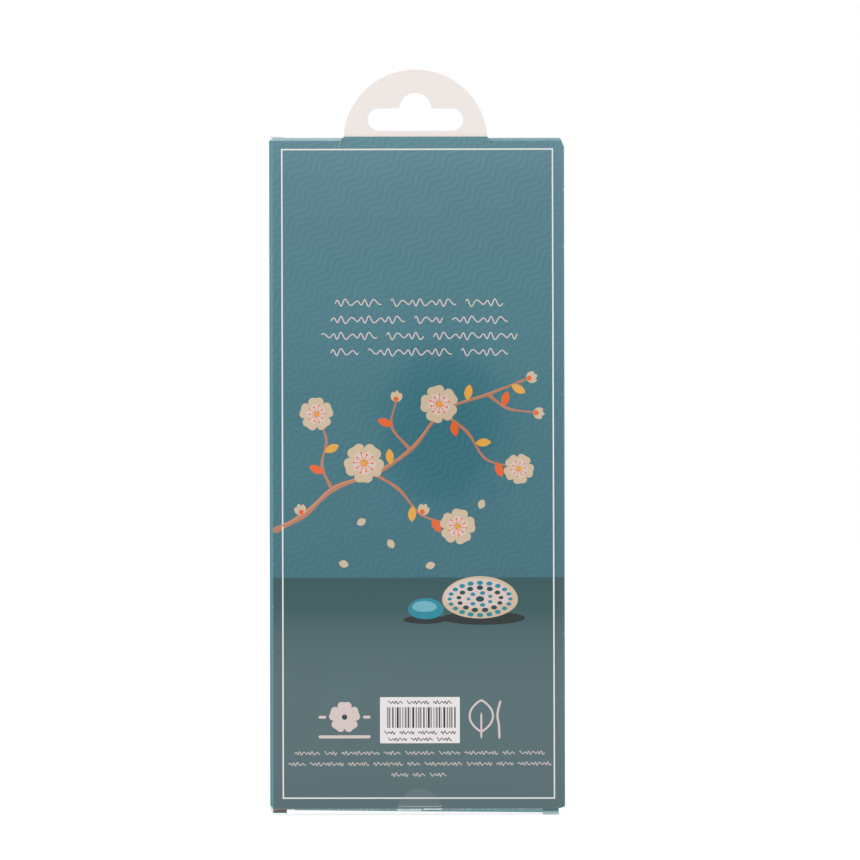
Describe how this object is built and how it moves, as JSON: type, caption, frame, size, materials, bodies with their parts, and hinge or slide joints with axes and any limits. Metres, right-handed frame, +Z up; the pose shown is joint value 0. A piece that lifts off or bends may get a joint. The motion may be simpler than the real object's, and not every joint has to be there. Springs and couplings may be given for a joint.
{
  "type": "sealed hang tab carton",
  "caption": "Tall flat folding carton, sealed, with a half-round hang tab and wide hanging slot at the top and a round clear seal over the bottom rear edge.",
  "frame": {"origin": "middle of the width and depth, at the level of the lowest ear under the closing panel", "axes": "+Z up through the hang tab, -Y out of the printed back panel that the picture shows, +Y out of the retail front, X across the width"},
  "size_m": [0.105, 0.0171, 0.2668],
  "materials": {
    "printed_board": "printed teal with a matt laminate, raw white board on the hang tab and the cut edges",
    "clear_film": "clear gloss film"
  },
  "bodies": {
    "root": {"carton": "printed_board", "round_seal": "clear_film"}
  },
  "joints": []
}
